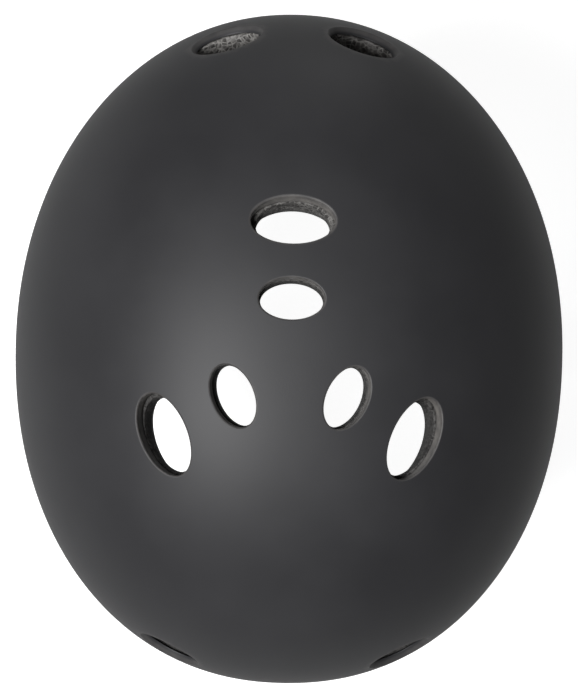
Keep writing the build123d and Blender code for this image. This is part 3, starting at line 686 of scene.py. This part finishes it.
def linerWall(vent, depth, wider=0.0):
    # growth of the vent's wall in the liner at a depth below the outer surface, at its ends and its sides
    extra = max(0.0, depth - linerSize["straight"]) / (linerSize["flareEnd"] - linerSize["straight"])
    return tuple(wider - ledge + extra * (linerSize["flare"] + ledge) for ledge in vent["ledges"])


def makeLiner():
    points, faces, outerLoops, headLoops = [], [], [], []
    clear = shellSize["collarWall"] + linerSize["fit"]
    quarter = [math.radians(22.5 * k) for k in range(5)]
    for vent in vents:
        rings, topInset = [], shellSize["wall"] + linerSize["fit"]
        if vent["collar"]:
            topInset = shellSize["collarDepth"] + linerSize["fit"]
            rings = [openingRing(vent, lambda depth: (clear, clear), linerInsets(0)),
                     openingRing(vent, lambda depth: (clear, clear), even(topInset))]
        ledge = linerSize["ledgeRadius"]
        for a in quarter:
            wider = ledge * (1 - math.sin(a))
            rings.append(openingRing(vent, lambda depth: linerWall(vent, 0, wider),
                                     even(topInset + ledge * (1 - math.cos(a)))))
        for share in (0.36, 0.5, 0.64, 0.78, 0.9):
            rings.append(openingRing(vent, lambda depth: linerWall(vent, depth), linerInsets(share)))
        mouth = linerSize["mouthRadius"]
        for a in quarter[1:]:
            back = mouth * (1 - math.sin(a))
            wider = mouth * (1 - math.cos(a))
            rings.append(openingRing(vent, lambda depth: linerWall(vent, depth, wider), linerInsets(1, back)))
        loops = addRings(points, faces, rings)
        outerLoops.append(loops[0])
        headLoops.append(loops[-1])
    rise, outerEdge, innerEdge = linerSize["rimRise"], linerSize["outerEdge"], linerSize["innerEdge"]
    rings = [rimRing(linerInsets(0, -outerEdge * (1 - math.cos(a))), rise + outerEdge * (1 - math.sin(a)))
             for a in quarter]
    rings += [rimRing(linerInsets(share), rise) for share in (0.2, 0.35, 0.5, 0.65, 0.78)]
    rings += [rimRing(linerInsets(1, innerEdge * (1 - math.sin(a))), rise + innerEdge * (1 - math.cos(a)))
              for a in quarter]
    loops = addRings(points, faces, rings)
    fillDome(points, faces, loops[0], outerLoops, linerInsets(0), linerSize["outerSpacing"])
    fillDome(points, faces, loops[-1], headLoops, linerInsets(1), linerSize["spacing"])
    return makePiece("liner_foam", points, faces, foamFinish)


def pocketCutter(run, hand, name):
    # room for one riveted strap end: two short lofts from behind the shell to the rim
    inward = strapSize["pocketRoom"]
    outwardBy = strapSize["pocketMargin"] + shellSize["wall"]
    widen, thick = strapSize["pocketMargin"], strapSize["thickness"]
    flatHalf = strapSize["width"] / 2 / run["flatAlong"].cross(run["level"]).length + widen
    slope = run["slope"]
    downwards = slope.cross(Vector((1, 0, 0)))
    lift = thick / 2 + strapSize["hingeGap"]
    back, flat, tabHalf = run["back"], run["flatAlong"], strapSize["tabHalf"]
    sections = [(back - flat * (tabHalf + widen), run["level"], run["normal"], flatHalf),
                (back + flat * tabHalf, run["level"], run["normal"], flatHalf),
                (run["exit"] - downwards * lift, slope, Vector((1, 0, 0)), run["halfCut"] + widen)]
    points = []
    for centre, wide, out, half in sections:
        for u, v in ((-half, -thick / 2 - inward), (half, -thick / 2 - inward),
                     (half, thick / 2 + outwardBy), (-half, thick / 2 + outwardBy)):
            point = centre + wide * u + out * v
            points.append(point if hand > 0 else mirrored(point))
    faces = [(0, 1, 2, 3), (8, 9, 10, 11)]
    for row in (0, 4):
        faces += [(row + k, row + (k + 1) % 4, row + 4 + (k + 1) % 4, row + 4 + k) for k in range(4)]
    return makePiece(name, points, faces, foamFinish)


def applyModifiers(piece):
    bpy.context.view_layer.update()
    shape = bpy.data.meshes.new_from_object(piece.evaluated_get(bpy.context.evaluated_depsgraph_get()))
    piece.modifiers.clear()
    piece.data = shape


def markPaintedShade(liner):
    # painted shade: how far each point lies in the wall of a vent, where it is darkened for the shade deep in
    # the vent
    spots = np.empty(len(liner.data.vertices) * 3)
    liner.data.vertices.foreach_get("co", spots)
    marks, room, fade = np.zeros(len(liner.data.vertices)), linerSize["pinned"], linerSize["pinnedFade"]
    for vent in vents:
        out = spots.reshape(-1, 3) - np.array(vent["centre"])
        across, along, axis = (out @ np.array(vent[key]) for key in ("across", "along", "axis"))
        reach = np.hypot(across / (vent["halfLong"] + room), along / (vent["halfShort"] + room))
        inWall = np.clip((1 + fade - reach) / fade, 0, 1) * (axis > -linerSize["flareEnd"])
        marks = np.maximum(marks, inWall * vent["pinned"])
    markPoints(liner, "pinned", marks)


def finishLiner(liner):
    for place, run in strapRuns.items():
        for hand in (1, -1):
            cutter = pocketCutter(run, hand, f"pocket_{place}_{hand > 0}")
            cut = liner.modifiers.new("pocket", "BOOLEAN")
            cut.operation, cut.solver, cut.object = "DIFFERENCE", "EXACT", cutter
            applyModifiers(liner)
            bpy.data.objects.remove(cutter)
    liner.data.set_sharp_from_angle(angle=math.radians(35))
    markPaintedShade(liner)
    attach(liner, "helmet")
    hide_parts("foam_liner")


liner = makeLiner()
finishLiner(liner)
print("stage: liner made", len(liner.data.vertices))


# Webbing: flat woven strip with rounded selvedges, swept along a path of (point, width direction, normal)
def webSection():
    half, edge = strapSize["width"] / 2, strapSize["thickness"] / 2
    flat = [(-1 + 2 * k / 6) * (half - edge) for k in range(7)]
    turn = [math.radians(a) for a in (60, 30, 0, -30, -60)]
    section = [(w, edge) for w in flat]
    section += [(half - edge + edge * math.cos(a), edge * math.sin(a)) for a in turn]
    section += [(w, -edge) for w in reversed(flat)]
    section += [(-half + edge - edge * math.cos(a), -edge * math.sin(a)) for a in turn]
    return section


def makeWeb(name, path, closed=False):
    section = webSection()
    points, faces, marks = [], [], []
    size, distance = len(section), [0.0]
    for (one, _, _), (other, _, _) in zip(path, path[1:] + path[:1]):
        distance.append(distance[-1] + (other - one).length)
    for centre, wide, out in path:
        points += [centre + wide * w + out * h for w, h in section]
    for row in range(len(path) if closed else len(path) - 1):
        after = (row + 1) % len(path)
        for k in range(size):
            other = (k + 1) % size
            faces.append((row * size + k, row * size + other, after * size + other, after * size + k))
            marks.append([(section[k][0], distance[row]), (section[other][0], distance[row]),
                          (section[other][0], distance[row + 1]), (section[k][0], distance[row + 1])])
    if not closed:
        for row in (0, len(path) - 1):
            faces.append(tuple(row * size + k for k in range(size)))
            marks.append([(section[k][0], distance[row]) for k in range(size)])
    piece = makePiece(name, points, faces, webbingFinish, marks)
    piece.data.set_sharp_from_angle(angle=math.radians(50))
    return piece


def ease(share):
    return share * share * (3 - 2 * share)


def legPath(run):
    # behind the shell, round the turn at the rim, then straight to the divider
    normal, flat = run["normal"], run["flatAlong"]
    legOut = Vector((1, 0, 0))
    legOut = (legOut - run["along"] * legOut.dot(run["along"])).normalized()
    legWide = run["along"].cross(legOut)
    tabWide = flat.cross(normal)
    tab, along = strapSize["tabHalf"], run["along"]
    path = [(run["back"] + flat * s, tabWide, normal)
            for s in (-tab, -0.006, -0.003, 0, 0.003, 0.006, tab - 0.001)]
    start, end = run["back"] + flat * tab, run["exit"]
    reach = (end - start).length * 0.3
    curve = geometry.interpolate_bezier(start, start + flat * reach, end - along * reach, end, 9)
    for k, point in list(enumerate(curve))[1:8]:
        share = ease(k / 8)
        out = normal.lerp(legOut, share).normalized()
        tangent = flat.lerp(along, share).normalized()
        wide = tangent.cross(out).normalized()
        path.append((point, wide, wide.cross(tangent).normalized()))
    steps = 26
    for k in range(steps + 1):
        s = run["length"] * k / steps
        free = math.sin(math.pi * min(1.0, s / (run["length"] - strapSize["tuck"])))
        wave = strapSize["wave"] * free * math.sin(s * strapSize["waveTurn"])
        path.append((run["exit"] + run["along"] * s + legOut * wave, legWide, legOut))
    return path


def onHand(path, hand):
    return path if hand > 0 else [(mirrored(p), mirrored(w), mirrored(n)) for p, w, n in path]


for side, hand in (("left", 1), ("right", -1)):
    for place, run in strapRuns.items():
        leg = makeWeb(f"{side}_{place}_webbing", onHand(legPath(run), hand))
        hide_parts(f"{side}_{place}_strap_end", f"{side}_{place}_strap")
        downwards = run["slope"].cross(Vector((1, 0, 0)))
        start = run["exit"] - downwards * strapSize["turnAbove"]
        end = run["exit"] + downwards * strapSize["turnBelow"]
        if hand < 0:
            start, end = mirrored(start), mirrored(end)
        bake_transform(leg)
print("stage: side straps made")


# Chin straps: one strip folded inside the divider and looped round the buckle's bar; the right one has a tail
chin = {"foldZ": -0.12575, "barZ": -0.17175, "loop": 0.00275, "layer": 0.00075, "taper": 0.010,
        "top": -0.1135, "tail": 0.034, "turnAbove": 0.0022, "turnBelow": 0.0028}


def chinSpan(z):
    # half the distance between the two layers' middles at a height
    share = ease(min(1.0, max(0.0, (z - chin["barZ"]) / chin["taper"])))
    return chin["loop"] + (chin["layer"] - chin["loop"]) * share


def chinPath(hasTail):
    wide = Vector((0, 1, 0))

    def turn(centreZ, radius, first, last, count):
        steps = [math.radians(first + (last - first) * k / (count - 1)) for k in range(count)]
        return [(Vector((hingeX + radius * math.cos(a), 0, centreZ + radius * math.sin(a))),
                 wide, Vector((math.cos(a), 0, math.sin(a)))) for a in steps]

    def layerRun(side, first, last, count):
        rows = []
        for k in range(count):
            z = first + (last - first) * k / (count - 1)
            lean = (chinSpan(z + 0.0002) - chinSpan(z - 0.0002)) / 0.0004
            out = Vector((side, 0, -side * side * lean)).normalized()
            rows.append((Vector((hingeX + side * chinSpan(z), 0, z)), wide, out))
        return rows

    inner = layerRun(-1, chin["barZ"] + 0.0006, chin["top"] - 0.001, 34)
    fold = turn(chin["top"], chin["layer"], 180, 0, 7)
    loop = turn(chin["barZ"], chin["loop"], 0, -180, 13)
    if not hasTail:
        outer = layerRun(1, chin["top"] - 0.001, chin["barZ"] + 0.0006, 34)
        return loop + inner + fold + outer, True
    outer = layerRun(1, chin["top"] - 0.001, chin["barZ"] + 0.0095, 30)
    tail = [(Vector((hingeX + chin["loop"], 0, chin["barZ"] + chin["tail"] * (1 - k / 16))), wide,
             Vector((1, 0, 0))) for k in range(16)]
    return tail + loop + inner + fold + outer, False


for side, hand, hasTail in (("left", 1, False), ("right", -1, True)):
    path, closed = chinPath(hasTail)
    web = makeWeb(f"{side}_chin_webbing", onHand(path, hand), closed)
    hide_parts(f"{side}_chin_strap")
    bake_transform(web)
print("stage: chin straps made")


# Comfort pads: the bonded cushions swell from their solids under a gentle inner pressure
padSwell = {"voxel": 0.0015, "pressure": 2.2, "frames": 14, "cap": 0.0011}
padSize = {"hem": 0.0022, "corner": 0.008, "seam": 0.0012, "pitch": 0.0027, "stitch": 0.0018,
           "thread": 0.00026, "hemFade": 0.0008, "stitchGap": 0.0019, "deepest": -0.066}
# hemFade: width of the hem's inner border, stitchGap: least distance of two stitches, deepest: the level, as a
# share of the dome, past which a stitch would lie on a cushion
# each cushion's bearing and angle from the crown, and its width and height with its share of hem
padKinds = {
    "brow_pad": {"cushions": [(-113.5, 90), (-90, 90), (-66.5, 90)], "size": (0.047, 0.025)},
    "nape_pad": {"cushions": [(71, 116), (90, 116), (109, 116)], "size": (0.039, 0.031)},
    "side_pad": {"cushions": [(-12.6, 94), (12.6, 94)], "size": (0.039, 0.025), "paired": True},
    "crown_pad": {"cushions": [(-56, 41), (-33, 28)], "size": (0.034, 0.024), "paired": True,
                  "lengthwise": True},
    "rear_crown_pad": {"cushions": [(79.5, 36), (100.5, 36)], "size": (0.027, 0.034)},
}


def headPlace(around, down, lengthwise):
    # a cushion's place on the liner's head side: point, along its width, along its height, outwards
    theta, angle, step, insets = math.radians(around), math.radians(down), 1e-4, linerInsets(1)
    point = domePoint(angle, theta, insets)
    sideways = domePoint(angle, theta + step, insets) - point
    out = (domePoint(angle + step, theta, insets) - point).cross(sideways).normalized()
    wide = Vector((0, 1, 0)) if lengthwise else sideways
    wide = (wide - out * wide.dot(out)).normalized()
    return point, wide, out.cross(wide), out


def fromOutline(u, v, size, inset):
    # distance outside a rounded rectangle, below zero inside it
    corner = padSize["corner"] - inset
    du, dv = abs(u) - size[0] / 2 + inset + corner, abs(v) - size[1] / 2 + inset + corner
    return math.hypot(max(du, 0), max(dv, 0)) + min(max(du, dv), 0) - corner


def outlineRow(size, inset, pitch):
    # even steps along a rounded rectangle: place and direction
    corner = padSize["corner"] - inset
    a, b = size[0] / 2 - inset - corner, size[1] / 2 - inset - corner
    path = []
    for u, v, first in ((a, b, 0), (-a, b, 90), (-a, -b, 180), (a, -b, 270)):
        turn = [math.radians(first + t) for t in range(0, 91, 10)]
        path += [Vector((u + corner * math.cos(t), v + corner * math.sin(t))) for t in turn]
    path.append(path[0])
    total = sum((after - before).length for before, after in zip(path, path[1:]))
    count = int(total / pitch)
    row, walked, wanted = [], 0.0, 0.0
    for before, after in zip(path, path[1:]):
        length = (after - before).length
        while wanted < walked + length and len(row) < count:
            row.append((before.lerp(after, (wanted - walked) / length), (after - before).normalized()))
            wanted += total / count
        walked += length
    return row


def markHem(pad, kind, places):
    # 1 on the flat hem and in the channels, 0 on the cushions
    marks = []
    for vertex in pad.data.vertices:
        nearest = 1.0
        for point, wide, high, out in places:
            offset = vertex.co - point
            distance = fromOutline(offset.dot(wide), offset.dot(high), kind["size"], padSize["hem"])
            nearest = min(nearest, min(1.0, max(0.0, 0.5 + distance / padSize["hemFade"])))
        marks.append(nearest)
    markPoints(pad, "hem", marks)


def makeStitches(pad, kind, places, name):
    # one slim bead of thread for each stitch, laid on the pad's hem
    surface = bvhtree.BVHTree.FromPolygons([vertex.co for vertex in pad.data.vertices],
                                           [tuple(face.vertices) for face in pad.data.polygons])
    spots, points, faces = [], [], []
    for index, (point, wide, high, out) in enumerate(places):
        for spot, along in outlineRow(kind["size"], padSize["seam"], padSize["pitch"]):
            foot = point + wide * spot.x + high * spot.y
            within = [foot - other[0] for other in places]
            if any(k != index and fromOutline(o.dot(p[1]), o.dot(p[2]), kind["size"], padSize["hem"]) < 0.0002
                   for k, (o, p) in enumerate(zip(within, places))):
                continue
            hit, normal, _, _ = surface.ray_cast(foot - out * 0.02, out)
            if hit is None or domeLevel(hit, linerInsets(1)) < padSize["deepest"]:
                continue
            if any((hit - s).length < padSize["stitchGap"] for s in spots):
                continue
            spots.append(hit)
            run = wide * along.x + high * along.y
            run = (run - normal * run.dot(normal)).normalized()
            side = normal.cross(run)
            half, thread, rings = padSize["stitch"] / 2, padSize["thread"], []
            for share, thick in ((-1, 0.35), (-0.6, 0.9), (0, 1.0), (0.6, 0.9), (1, 0.35)):
                middle = hit + run * half * share + normal * (thread * (0.35 - 1.1 * share * share))
                rings.append([middle + (side * math.cos(t) + normal * math.sin(t)) * thread * thick
                              for t in (math.radians(60 * a) for a in range(6))])
            loops = addRings(points, faces, rings)
            faces += [tuple(loops[0]), tuple(loops[-1])]
    piece = makePiece(name, points, faces, threadFinish)
    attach(piece, "helmet")


def makePadMesh(name):
    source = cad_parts[name]
    piece = addObject(name.replace("pad", "cushions"), source.data.copy())
    piece.matrix_world = source.matrix_world
    shape = bmesh.new()
    shape.from_mesh(piece.data)
    bmesh.ops.remove_doubles(shape, verts=shape.verts, dist=1e-6)
    shape.to_mesh(piece.data)
    shape.free()
    grid = piece.modifiers.new("grid", "REMESH")
    grid.mode, grid.voxel_size = "VOXEL", padSwell["voxel"]
    relax = piece.modifiers.new("relax", "SMOOTH")
    relax.factor, relax.iterations = 0.5, 3
    applyModifiers(piece)
    return piece


def swell(piece):
    rest = [vertex.co.copy() for vertex in piece.data.vertices]
    cloth = piece.modifiers.new("cloth", "CLOTH")
    settings = cloth.settings
    settings.quality = 5
    settings.mass = 0.2
    settings.tension_stiffness = settings.compression_stiffness = 12
    settings.bending_stiffness = 0.4
    settings.use_pressure = True
    settings.uniform_pressure_force = padSwell["pressure"]
    settings.effector_weights.gravity = 0
    cloth.point_cache.frame_end = padSwell["frames"]
    for step in range(1, padSwell["frames"] + 1):
        bpy.context.scene.frame_set(step)
    applyModifiers(piece)
    bpy.context.scene.frame_set(1)
    for vertex, place in zip(piece.data.vertices, rest):
        move = vertex.co - place
        if move.length > padSwell["cap"]:
            vertex.co = place + move.normalized() * padSwell["cap"]


for kindName, kind in padKinds.items():
    for side, hand in (("left_", 1), ("right_", -1)) if kind.get("paired") else (("", 1),):
        name = side + kindName
        pad = makePadMesh(name)
        swell(pad)
        smoothing = pad.modifiers.new("smoothing", "SUBSURF")
        smoothing.levels = smoothing.render_levels = 1
        applyModifiers(pad)
        pad.data.materials.clear()
        pad.data.materials.append(padFinish)
        for face in pad.data.polygons:
            face.use_smooth = True
        lengthwise = kind.get("lengthwise", False)
        places = [headPlace(around, down, lengthwise) for around, down in kind["cushions"]]
        if hand < 0:
            places = [tuple(mirrored(part) for part in place) for place in places]
        markHem(pad, kind, places)
        makeStitches(pad, kind, places, name.replace("pad", "stitching"))
        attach(pad, "helmet")
        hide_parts(name)
print("stage: pads made")


# CAD pieces that stay, with their finishes
finishes = {"hook_patches": hookFinish, "strap_rivets": enamelFinish, "rivet_washers": nickelFinish}
finishes.update(dict.fromkeys(("left_divider", "right_divider", "buckle_socket", "buckle_plug",
                               "front_latch_arm", "rear_latch_arm", "strap_keeper"), acetalFinish))
for name, finish in finishes.items():
    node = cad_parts[name]
    if not node.material_slots:
        node.data.materials.append(finish)
    for slotPlace in node.material_slots:
        slotPlace.material = finish
print("stage: finishes set")


# Camera straight above, the front of the helmet at the top of the image
cameraSet = {"height": 1.6, "centreY": -0.0008, "frameHeight": 0.280, "turn": 1.0, "lean": 0.4}
lens = bpy.data.cameras.new("top_camera")
lens.sensor_width = 36
lens.lens = 36 * cameraSet["height"] / cameraSet["frameHeight"]
lens.clip_end = 20
camera = addObject("top_camera", lens)
turn, lean = math.radians(cameraSet["turn"]), math.radians(cameraSet["lean"])
camera.matrix_world = (Matrix.Translation((0, cameraSet["centreY"], 0)) @ Matrix.Rotation(lean, 4, "Y")
                       @ Matrix.Translation((0, 0, cameraSet["height"]))
                       @ Matrix.Rotation(math.pi + turn, 4, "Z"))
bpy.context.scene.camera = camera


def lookedAt(tree):
    # 1 where a camera or transmission ray looks, with the light path that tells it
    paths = addNode(tree, "LightPath").outputs
    return paths, addNode(tree, "Math", {0: paths["Is Camera Ray"], 1: paths["Is Transmission Ray"]},
                          operation="MAXIMUM")


# Plain pale floor and soft studio light, strongest from the upper left of the image
studio = {"floorZ": -0.2105, "floorHalf": 4, "pale": "#acacac", "paler": "#b3b3b3", "seenGlow": 0.93,
          "glossyGlow": 0.1, "fill": 0.048}
half = studio["floorHalf"]
corners = [(x * half, y * half, studio["floorZ"]) for x, y in ((-1, -1), (1, -1), (1, 1), (-1, 1))]
floorMesh = bpy.data.meshes.new("studio_floor")
floorMesh.from_pydata(corners, [], [(0, 1, 2, 3)])
floor = addObject("studio_floor", floorMesh)
floorFinish, tree, place = newMaterial("painted_studio_floor")
patches = addNode(tree, "TexNoise", {"Vector": place, "Scale": 3, "Detail": 2})
tone = addNode(tree, "ValToRGB", {"Fac": patches}, [(0.3, studio["pale"]), (0.7, studio["paler"])])
paint = addNode(tree, "BsdfPrincipled", {"Base Color": tone, "Roughness": 0.9})
paths, seen = lookedAt(tree)
direct = addNode(tree, "Math", {0: seen, 1: studio["seenGlow"]}, operation="MULTIPLY")
glow = addNode(tree, "Math", {0: paths["Is Glossy Ray"], 1: studio["glossyGlow"], 2: direct},
               operation="MULTIPLY_ADD")
light = addNode(tree, "Emission", {"Color": (1, 1, 1, 1), "Strength": glow})
addNode(tree, "OutputMaterial", {"Surface": addNode(tree, "AddShader", {0: paint, 1: light})})
floorMesh.materials.append(floorFinish)

lamps = [
    {"name": "key_softbox", "place": (0.82, 0.40, 2.05), "power": 70, "size": 0.85},
    {"name": "side_softbox", "place": (1.6, -0.4, 1.1), "power": 0.25, "size": 1.2},
    {"name": "front_softbox", "place": (-0.3, -1.6, -0.02), "power": 2.6, "size": 0.5},
    {"name": "rear_softbox", "place": (0.1, 1.7, -0.05), "power": 0.6, "size": 0.5},
]
for lamp in lamps:
    light = bpy.data.lights.new(lamp["name"], "AREA")
    light.energy, light.size = lamp["power"], lamp["size"]
    holder = addObject(lamp["name"], light)
    holder.location = lamp["place"]
    holder.rotation_euler = (-Vector(lamp["place"])).to_track_quat("-Z", "Y").to_euler()

world = bpy.data.worlds.new("studio")
bpy.context.scene.world = world
world.use_nodes = True
# white where it is looked at, and a faint even fill for everything else
tree = world.node_tree
tree.nodes.clear()
strength = addNode(tree, "MapRange", {"Value": lookedAt(tree)[1], "To Min": studio["fill"], "To Max": 1.0})
sky = addNode(tree, "Background", {"Color": (1, 1, 1, 1), "Strength": strength})
addNode(tree, "OutputWorld", {"Surface": sky})
bpy.context.scene.view_settings.view_transform = "Standard"
